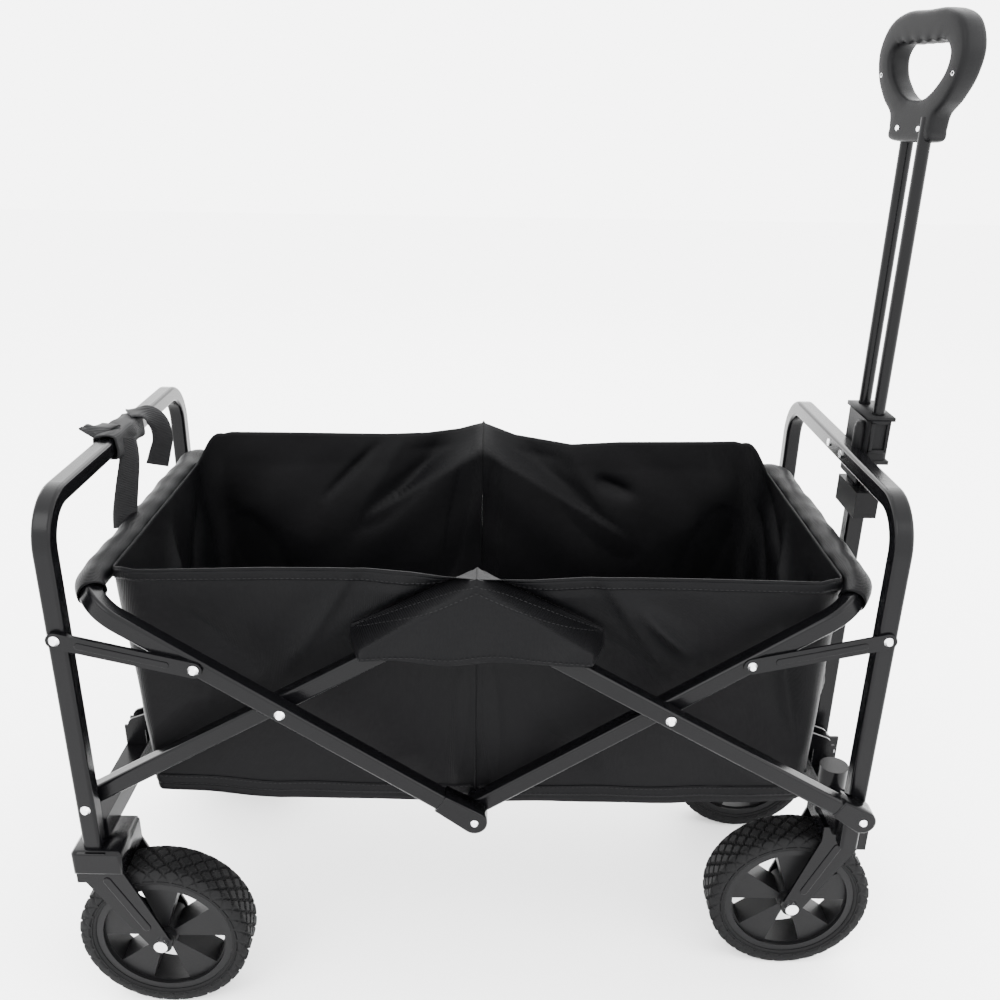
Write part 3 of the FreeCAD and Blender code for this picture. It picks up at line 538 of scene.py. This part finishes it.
CREASES = {("rear", "near"): [((0.115, 0.500), (0.196, 0.372), 0.010, 0.0030),
                              ((0.30, 0.47), (0.21, 0.38), 0.022, -0.0050),
                              ((0.33, 0.30), (0.26, 0.36), 0.012, 0.004),
                              ((0.02, 0.26), (0.01, 0.42), 0.007, 0.003),
                              ((0.05, 0.30), (0.10, 0.27), 0.012, 0.0025)],
           ("front", "near"): [((0.150, 0.470), (0.215, 0.405), 0.009, 0.0055),
                               ((0.115, 0.503), (0.196, 0.372), 0.012, 0.0030),
                               ((0.21, 0.345), (0.30, 0.275), 0.009, 0.0045),
                               ((0.29, 0.45), (0.325, 0.30), 0.014, -0.005),
                               ((0.02, 0.26), (0.012, 0.42), 0.008, 0.003),
                               ((0.06, 0.33), (0.13, 0.28), 0.012, -0.003)],
           ("rear", "far"): [((0.012, 0.52), (0.045, 0.33), 0.008, 0.006),
                             ((0.050, 0.50), (0.155, 0.40), 0.011, 0.0055),
                             ((0.13, 0.51), (0.20, 0.44), 0.004, 0.003),
                             ((0.25, 0.30), (0.31, 0.42), 0.020, 0.005)],
           ("front", "far"): [((0.015, 0.50), (0.010, 0.30), 0.007, 0.004),
                              ((0.14, 0.47), (0.19, 0.45), 0.008, 0.004),
                              ((0.08, 0.48), (0.20, 0.36), 0.020, 0.004),
                              ((0.26, 0.32), (0.31, 0.44), 0.018, 0.005)],
           ("rear", "end"): [((-0.13, 0.46), (-0.04, 0.29), 0.014, 0.007),
                             ((0.02, 0.47), (-0.07, 0.30), 0.016, -0.008),
                             ((0.13, 0.46), (0.04, 0.30), 0.013, 0.007),
                             ((-0.15, 0.33), (-0.02, 0.27), 0.014, 0.006)],
           ("front", "end"): [((0.15, 0.48), (0.02, 0.40), 0.011, 0.008),
                              ((0.16, 0.44), (0.06, 0.30), 0.013, 0.009),
                              ((0.04, 0.47), (-0.05, 0.33), 0.013, -0.008),
                              ((-0.06, 0.45), (-0.14, 0.34), 0.012, 0.008),
                              ((0.10, 0.34), (0.0, 0.28), 0.014, 0.006),
                              ((-0.15, 0.48), (-0.09, 0.40), 0.009, 0.006)]}


FOLD_DEEP = 2.2


def crease(u, w, start, end, wide, high):
    """Height of a straight soft fold between two points of a panel."""
    dx, dy = end[0] - start[0], end[1] - start[1]
    length = math.hypot(dx, dy)
    along = np.clip(((u - start[0]) * dx + (w - start[1]) * dy) / length ** 2, 0, 1)
    away = np.hypot(u - start[0] - along * dx, w - start[1] - along * dy)
    fades = np.sin(np.pi * np.clip(along * 0.9 + 0.05, 0, 1))
    return FOLD_DEEP * high * fades * np.exp(-np.abs(away / wide) ** 1.4)


def side_offset(end, side, x, z):
    """How far out from the middle of the wagon a side panel stands at a place along it."""
    table = np.array(RIMS[end, side])
    rim_y, rim_z = np.interp(x, table[:, 0], table[:, 1]), np.interp(x, table[:, 0], table[:, 2])
    tube_top = np.maximum(0.506 - 0.611 * x, 0.264 + 0.55 * x)
    rise = np.clip((z - tube_top) / np.maximum(rim_z - tube_top, 0.004), 0, 1)
    out = SIDE_Y + (rim_y - SIDE_Y) * rise ** 1.3
    over_tube, under_rim = np.clip((z - tube_top) / 0.02, 0, 1), np.clip((rim_z - z) / 0.02, 0, 1)
    facet = np.clip((0.105 + (0.505 - z) * 0.6 - x) * 0.26, 0, 0.0115) * over_tube * under_rim
    sag = np.sin(np.pi * np.clip((z - WALL_LOW) / 0.24, 0, 1))
    inward = 0.0085 * sag * np.clip(x / 0.12, 0, 1) * np.clip((0.34 - x) / 0.07, 0, 1)
    folds = sum(crease(x, z, *fold) for fold in CREASES[end, side])
    phase = 1.3 if end == "rear" else 4.0
    ripple = 0.0011 * np.sin(x * 61 + z * 23 + phase) * np.sin(z * 47 + x * 9)
    ripple = ripple * np.clip((rim_z - z) / 0.03, 0, 1)
    pushed = np.where(z > tube_top + 0.004, folds, np.minimum(folds, 0.0028))
    return out + np.where(rise > 0, facet, 0) - inward + pushed + ripple


def half_wall(name, end):
    """One half of the wall, from the folding plane round the end and back, with its folds."""
    sign = -1 if end == "rear" else 1
    corner, rows = 0.028, 66
    straight = np.concatenate([np.linspace(0, 0.05, 26)[:-1], np.linspace(0.05, END_X - corner, 84)])
    turn = np.linspace(0.12, math.pi / 2 - 0.12, 9)
    across = np.linspace(-SIDE_Y + corner, SIDE_Y - corner, 96)
    plan = [(x, -SIDE_Y, 0, -1) for x in straight]
    plan += [(END_X - corner + corner * math.sin(t), -SIDE_Y + corner - corner * math.cos(t), math.sin(t),
              -math.cos(t)) for t in turn]
    plan += [(END_X, y, 1, 0) for y in across]
    plan += [(END_X - corner + corner * math.cos(t), SIDE_Y - corner + corner * math.sin(t), math.cos(t),
              math.sin(t)) for t in turn]
    plan += [(x, SIDE_Y, 0, 1) for x in straight[::-1]]
    plan = np.array(plan)
    px, py, nx, ny = (np.repeat(plan[:, i:i + 1], rows, 1) for i in range(4))
    h = np.repeat(np.linspace(0, 1, rows)[None, :] ** 0.97, len(plan), 0)
    near, far = (np.array(RIMS[end, side]) for side in ("near", "far"))
    rim_near, rim_far = np.interp(px, near[:, 0], near[:, 2]), np.interp(px, far[:, 0], far[:, 2])
    on_end = np.abs(nx)
    hem_top = 0.4925
    rim = np.where(py < 0, rim_near, rim_far) * (1 - on_end) + hem_top * on_end
    puff = np.where(py > 0, 0.013, 0.004) * np.sin(np.pi * np.clip(on_end, 0, 1)) * (on_end < 1)
    rim = rim + puff
    low = WALL_LOW + (0.010 if end == "rear" else 0.006) * np.clip((px - 0.2) / 0.14, 0, 1)
    z = low + (rim - low) * h
    side_y = np.where(py < 0, side_offset(end, "near", px, z), side_offset(end, "far", px, z))
    lean = 0.017 if end == "rear" else 0.004
    folds = sum(crease(py, z, *fold) for fold in CREASES[end, "end"])
    bow = 0.0025 * np.sin(py * 40 + z * 30) * np.sin(np.pi * h)
    pushed = np.clip(folds * np.sin(np.pi * h) ** 0.5 + bow, -0.012, 0.009)
    end_in = lean * (1 - h) ** 1.1 + 0.003 * np.sin(np.pi * h * 3) * (1 - h) - pushed
    side_share = ny ** 2
    x = px - end_in * np.clip(on_end, 0, 1)
    y = py + np.sign(py) * (side_y - SIDE_Y) * side_share
    outer = np.stack([x, y, z], -1)
    normal = np.stack([nx, ny, np.zeros_like(nx)], -1)
    inner = outer - CLOTH * normal
    points = np.concatenate([outer, inner[:, ::-1]], 1)
    points[..., 0] = sign * points[..., 0] + MIDDLE
    faces = skin_faces(len(plan), rows)
    if sign > 0:
        faces = [f[::-1] for f in faces]
    length = np.hypot(*np.diff(plan[:, :2], axis=0).T).sum()
    shown = outer.copy()
    shown[..., 0] = sign * shown[..., 0] + MIDDLE
    shown_normal = normal * np.array((sign, 1, 1))
    return as_mesh(name, points.reshape(-1, 3), faces, cloth_finish), length, shown, shown_normal


def follow_fold(piece, end):
    """A fabric piece is fixed to the cloth body of its own half and given a mesh of its own."""
    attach(piece, f"{end}_cloth")
    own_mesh(piece)


def ribbon(name, centre, up, out, high, thick, surface=cloth_finish):
    """A flat band along a line of points, standing a little proud of the panel that it is sewn to."""
    centre, up, out = np.array(centre), np.array(up), np.array(out)
    section = [(-0.5, 0.15), (-0.47, 0.8), (-0.25, 1.0), (0.25, 1.0), (0.47, 0.8), (0.5, 0.15), (0.47, -0.6),
               (-0.47, -0.6)]
    rows = np.stack([centre + u * high * up + v * thick * out for u, v in section], 1)
    count = len(centre)
    faces = [tuple(f) for f in strip_faces(count, len(section), False, True)]
    start, stop = tuple(range(len(section))), (count - 1) * len(section)
    faces += [start[::-1], tuple(stop + i for i in start)]
    made = as_mesh(name, rows.reshape(-1, 3), faces, surface)
    face_outwards(made)
    return made


def face_outwards(piece):
    """Turn every face of a closed mesh outwards."""
    shape = bmesh.new()
    shape.from_mesh(piece.data)
    bmesh.ops.recalc_face_normals(shape, faces=shape.faces)
    shape.to_mesh(piece.data)
    shape.free()


SEAMS = {"rear": [], "front": [], "flaps": []}
for end in ("rear", "front"):
    wall, around, shown, outwards = half_wall(f"{end}_tub_wall", end)
    follow_fold(wall, end)
    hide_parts("fabric_tub")
    rows = shown.shape[1]
    for part_name, spot, high in (("hem", rows - 3, 0.010), ("foot_band", 3, 0.012)):
        line, aim_out = shown[:, spot], outwards[:, spot]
        step = shown[:, spot + 1] - shown[:, spot - 1]
        step /= np.linalg.norm(step, axis=1)[:, None]
        keep = np.arange(2, len(line) - 2)
        band = ribbon(f"{end}_{part_name}", line[keep], step[keep], aim_out[keep], high, 0.0011)
        follow_fold(band, end)
        for lift in ((-0.0028,) if part_name == "hem" else (-0.0038, 0.0038)):
            SEAMS[end].append(line[keep] + lift * step[keep] + 0.0012 * aim_out[keep])

# ==== Tunnel hems ================================================================================
# The top of each end panel is folded over the cross piece of its cradle and sewn down, which makes a
# loose tunnel round the tube that ends part of the way round its bends.

CROSSBAR_X, CROSSBAR_Z, BEND = 0.361, 0.4858, 0.042
for end, sign, straight, bend_to in (("rear", -1, 0.166, 0.62), ("front", 1, 0.145, 0.80)):
    down = np.array((-sign * 0.8367, 0, -0.5477))
    path = [(-1, t) for t in np.linspace(bend_to, 0, 14)] + [(1, t) for t in np.linspace(0, bend_to, 14)]
    centres, heads = [], []
    for i, (way, t) in enumerate(path):
        if i == 14:
            for y in np.linspace(-straight, straight, 90)[1:-1]:
                centres.append(np.array((sign * CROSSBAR_X, y, CROSSBAR_Z)))
                heads.append(np.array((0, 1.0, 0)))
        on_bar = np.array((sign * CROSSBAR_X, way * (straight + BEND * math.sin(t)), CROSSBAR_Z))
        centres.append(on_bar + down * BEND * (1 - math.cos(t)))
        heads.append(np.array((0, math.cos(t), 0)) + way * down * math.sin(t))
    centres, heads = np.array(centres), np.array(heads)
    count, steps = len(centres), 30
    turn = np.linspace(0, 2 * np.pi, steps, endpoint=False)
    upright = np.cross(heads, np.cross((0, 0, 1.0), heads))
    upright /= np.linalg.norm(upright, axis=1)[:, None]
    sideways = np.cross(upright, heads)
    run = centres[:, 1]
    slow = 0.0007 * np.sin(run * 60)[:, None] * np.cos(2 * turn + 1)[None]
    quick = 0.0006 * np.sin(run * 143 + 1)[:, None] * np.cos(turn * 3)[None]
    loose = 0.0129 + slow + quick
    loose = loose + 0.0012 * np.clip(np.sin(turn - 0.6), 0, 1)[None] * np.ones((count, 1))
    across_tube = np.cos(turn)[None, :, None] * sideways[:, None]
    round_tube = across_tube + np.sin(turn)[None, :, None] * upright[:, None]
    outer = centres[:, None] + loose[..., None] * round_tube
    inner = centres[:, None] + (loose[..., None] - CLOTH) * round_tube
    points = np.concatenate([outer, inner[::-1]], 0) + np.array((MIDDLE, 0, 0))
    sleeve = as_mesh(f"{end}_sleeve", points.reshape(-1, 3), strip_faces(2 * count, steps, True, True),
                     cloth_finish)
    face_outwards(sleeve)
    follow_fold(sleeve, end)
    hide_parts(f"{end}_tunnel_hem")
    inward = int(round((0.02 if sign < 0 else 0.48) * steps))
    SEAMS[end].append(outer[6:-6, inward] + np.array((MIDDLE - sign * 0.0006, 0, 0)))

# ==== Flaps over the top pivots ==================================================================
# A triangle of the same cloth sewn along its two upper edges to the wall, so that it hides the pivot
# and the crossing tubes.  Its lower edge is hemmed and hangs free.


def flap_point(side, x, v):
    """A point of a flap and the line of its top edge, at a place along it and a share of the way down."""
    way = -1 if side == "near" else 1
    end = "rear" if x < 0 else "front"
    a = abs(x)
    high = 0.5175 - 0.600 * a + (0.013 * max(1 - a / 0.020, 0) if side == "far" else 0.0)
    low = 0.432 + 0.0020 * math.sin(x * 55)
    z = high + (low - high) * v
    tube_top = 0.5045 - 0.611 * a
    wall = float(side_offset(end, side, np.array(a), np.array(min(high, 0.530)))) + 0.0020
    proud = 0.2222 + 0.0012 * math.sin(x * 90 + v * 4) * v
    share = min(max((high - z) / max(high - tube_top - 0.002, 0.006), 0), 1)
    share = share * share * (3 - 2 * share)
    tip = min(max((0.1225 - a) / 0.016, 0), 1)
    out = wall + (proud - wall) * share * tip + 0.0015 * tip * math.exp(-a / 0.02)
    return np.array((x + MIDDLE, way * max(out, wall), z))


def gather_flap(piece):
    """A flap is fixed to the body that carries the flaps and given a mesh of its own."""
    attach(piece, "flaps")
    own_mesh(piece)


flap_columns, flap_rows = 121, 26
for side in ("near", "far"):
    way = -1 if side == "near" else 1
    across, down = np.linspace(-0.120, 0.120, flap_columns), np.linspace(0, 1, flap_rows)
    outer = np.array([[flap_point(side, x, v) for v in down] for x in across])
    inner = outer - np.array((0, way * CLOTH, 0))
    points = np.concatenate([outer, inner[:, ::-1]], 1)
    flap = as_mesh(f"{side}_pivot_flap", points.reshape(-1, 3), skin_faces(flap_columns, flap_rows),
                   cloth_finish)
    face_outwards(flap)
    gather_flap(flap)
    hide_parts(f"{side}_flap")
    for row in (2, 4, flap_rows - 3):
        SEAMS["flaps"].append(outer[4:-4, row] + np.array((0, way * 0.0004, 0)))

# ==== Stitching ==================================================================================
# Rows of lock stitch in matt black thread: along the rim hem, the foot band, the tunnels and the
# edges of the flaps.

thread_finish = finish_of("sewing_thread", (0.0030, 0.0030, 0.0033), (0.0055, 0.0055, 0.006), (0.5, 0.65),
                          2000.0, 0.2, gloss=0.10)
stitch_row = bpy.data.node_groups.new("stitch_row", "GeometryNodeTree")
for label, kind, value in (("Seam line", "NodeSocketGeometry", None), ("Pitch", "NodeSocketFloat", 0.0052),
                           ("Stitch length", "NodeSocketFloat", 0.0036),
                           ("Thread width", "NodeSocketFloat", 0.0009),
                           ("Thread", "NodeSocketMaterial", None)):
    slot_in = stitch_row.interface.new_socket(name=label, in_out="INPUT", socket_type=kind)
    if value is not None:
        slot_in.default_value = value
stitch_row.interface.new_socket(name="Stitches", in_out="OUTPUT", socket_type="NodeSocketGeometry")
tree = stitch_row.nodes
given = tree.new("NodeGroupInput")
enters = {label: Flow(tree, given.outputs[label])
          for label in ("Seam line", "Pitch", "Stitch length", "Thread width", "Thread")}
curve = node(tree, "GeometryNodeMeshToCurve", {}, {"Mesh": enters["Seam line"]})
spaced = node(tree, "GeometryNodeResampleCurve", {"mode": "LENGTH"},
              {"Curve": curve, "Length": enters["Pitch"]})
bead = node(tree, "GeometryNodeMeshUVSphere", {}, {"Segments": 6, "Rings": 4, "Radius": 0.5})
facing_along = node(tree, "FunctionNodeAlignRotationToVector", {"axis": "Z"},
                    {"Vector": node(tree, "GeometryNodeInputTangent", {}, {})})
size = node(tree, "ShaderNodeCombineXYZ", {},
            {"X": enters["Thread width"], "Y": enters["Thread width"], "Z": enters["Stitch length"]})
placed = node(tree, "GeometryNodeInstanceOnPoints", {},
              {"Points": spaced, "Instance": bead, "Rotation": facing_along, "Scale": size})
solid = node(tree, "GeometryNodeRealizeInstances", {}, {"Geometry": placed})
finished = node(tree, "GeometryNodeSetMaterial", {}, {"Geometry": solid, "Material": enters["Thread"]})
leaves = tree.new("NodeGroupOutput")
stitch_row.links.new(finished.socket, leaves.inputs["Stitches"])


def sewn(name, lines):
    """Stitches along some lines of points, as one plain mesh."""
    points, edges = [], []
    for line in lines:
        edges += [(len(points) + i, len(points) + i + 1) for i in range(len(line) - 1)]
        points += [tuple(p) for p in line]
    data = bpy.data.meshes.new(name)
    data.from_pydata(points, edges, [])
    made = bpy.data.objects.new(name, data)
    bpy.context.collection.objects.link(made)
    rows = made.modifiers.new("stitch_row", "NODES")
    rows.node_group = stitch_row
    for item in stitch_row.interface.items_tree:
        if item.name == "Thread":
            rows[item.identifier] = thread_finish
        if item.name == "Pitch":
            rows[item.identifier] = 0.0050
    ready = made.evaluated_get(bpy.context.evaluated_depsgraph_get())
    shape = bpy.data.meshes.new_from_object(ready)
    made.modifiers.clear()
    made.data = shape
    return made


for end in ("rear", "front"):
    follow_fold(sewn(f"{end}_stitches", SEAMS[end]), end)
gather_flap(sewn("flap_stitches", SEAMS["flaps"]))

# ==== Floor ======================================================================================
# A stiff board sewn into the same cloth, creased across the middle so that it folds up with the wagon.

for end, sign in (("rear", -1), ("front", 1)):
    columns, rows = 60, 48
    across = np.linspace(0.0008, 0.327 if end == "rear" else 0.338, columns)
    deep = np.linspace(-0.164, 0.164, rows)
    gx, gy = np.meshgrid(across, deep, indexing="ij")
    uneven = 0.0012 * np.sin(gx * 31) * np.sin(gy * 27)
    ridge, valley = 0.0016 * np.exp(-(gx / 0.006) ** 2), 0.0014 * np.exp(-((gx - 0.006) / 0.004) ** 2)
    top = 0.2812 + uneven + ridge - valley
    upper = np.stack([sign * gx + MIDDLE, gy, top], -1)
    under = np.stack([sign * gx + MIDDLE, gy, np.full_like(top, 0.2775)], -1)
    skin = np.concatenate([upper, under[:, ::-1]], 1)
    board = as_mesh(f"{end}_floor_board", skin.reshape(-1, 3), skin_faces(columns, rows), cloth_finish)
    face_outwards(board)
    follow_fold(board, end)

# ==== Strap on the rear hoop =====================================================================
# A hook-and-loop band wrapped round the top of the rear hoop, with the two runs of webbing that it
# holds hanging beside the end of the tub.


def ribbed(nodes, place, fine):
    """The cross ribs of narrow webbing."""
    parts = node(nodes, "ShaderNodeSeparateXYZ", {}, {"Vector": place}, "Z")
    return 0.6 * (parts * 3600.0).wave() + 0.4 * fine


webbing_finish = finish_of("webbing", (0.0030, 0.0030, 0.0034), (0.0056, 0.0056, 0.006), (0.55, 0.72), 900.0,
                           0.5, gloss=0.10, detail=ribbed)


def webbing(name, path, wide_way, wide, thick=0.0016):
    """Webbing along a smooth line from the hoop; wide_way is the direction of its width at each end."""
    line = loop_line([HOOP + np.array(p) for p in path], 60)
    head = np.gradient(line, axis=0)
    head /= np.linalg.norm(head, axis=1)[:, None]
    share = np.linspace(0, 1, len(line))[:, None]
    side = np.array(wide_way[0]) * (1 - share) + np.array(wide_way[1]) * share
    side = side - (side * head).sum(1)[:, None] * head
    side /= np.linalg.norm(side, axis=1)[:, None]
    out = np.cross(head, side)
    return ribbon(name, line, side, out, wide, thick, webbing_finish)


def loop_line(knots, count):
    """Even open curve through a few knots (Catmull-Rom)."""
    knots = np.array([knots[0]] + list(knots) + [knots[-1]], float)
    t = np.linspace(0, len(knots) - 3 - 1e-6, count)
    i, f = t.astype(int), (t % 1)[:, None]
    p0, p1, p2, p3 = (knots[i + k] for k in range(4))
    return catmull_rom(p0, p1, p2, p3, f)


HOOP = np.array((-0.382 + MIDDLE, 0, 0.572))
band_rows, around_steps = 40, 36
turn = np.linspace(0, 2 * np.pi, around_steps, endpoint=False)
grid = []
for layer, order in ((0.0, 1), (-0.0018, -1)):
    for k in range(band_rows)[::order]:
        y = -0.040 + 0.084 * k / (band_rows - 1)
        c, s = np.cos(turn), np.sin(turn)
        square = 1 / np.maximum(np.abs(c), np.abs(s)) ** 0.72
        wavy = 0.0007 * np.sin(turn * 3 + y * 90)
        lapped = 0.0012 * np.exp(-((turn - 1.1) / 0.4) ** 2)
        reach = 0.0130 * square + wavy + 0.0006 * np.sin(y * 160) + lapped + layer
        grid.append(HOOP + np.stack([reach * c, np.full(around_steps, y), reach * s], -1))
wrap = as_mesh("strap_wrap", np.array(grid).reshape(-1, 3),
               strip_faces(2 * band_rows, around_steps, True, True), webbing_finish)
face_outwards(wrap)
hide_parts("hoop_strap")
tongue = webbing("strap_tongue",
                 ((-0.004, -0.006, 0.0145), (-0.010, -0.020, 0.0148), (-0.0155, -0.029, 0.0130),
                  (-0.0175, -0.033, 0.0115)),
                 ((0.8, 0.6, 0), (0.75, 0.6, 0.1)), 0.026)
near_run = webbing("strap_near_run",
                   ((0.0140, -0.014, 0.004), (0.0155, -0.020, -0.018), (0.013, -0.030, -0.045),
                    (0.010, -0.036, -0.070), (0.009, -0.038, -0.088)),
                   ((0.35, 0.9, 0), (0.95, 0.35, 0)), 0.025)
far_run = webbing("strap_far_run",
                  ((0.000, 0.036, 0.0145), (0.016, 0.046, 0.012), (0.026, 0.052, 0.000),
                   (0.028, 0.054, -0.018), (0.024, 0.052, -0.034), (0.020, 0.050, -0.048)),
                  ((0.3, 0.9, 0), (0.85, 0.5, 0)), 0.025)
for strip in (wrap, tongue, near_run, far_run):
    fitted(strip, "rear_frame")
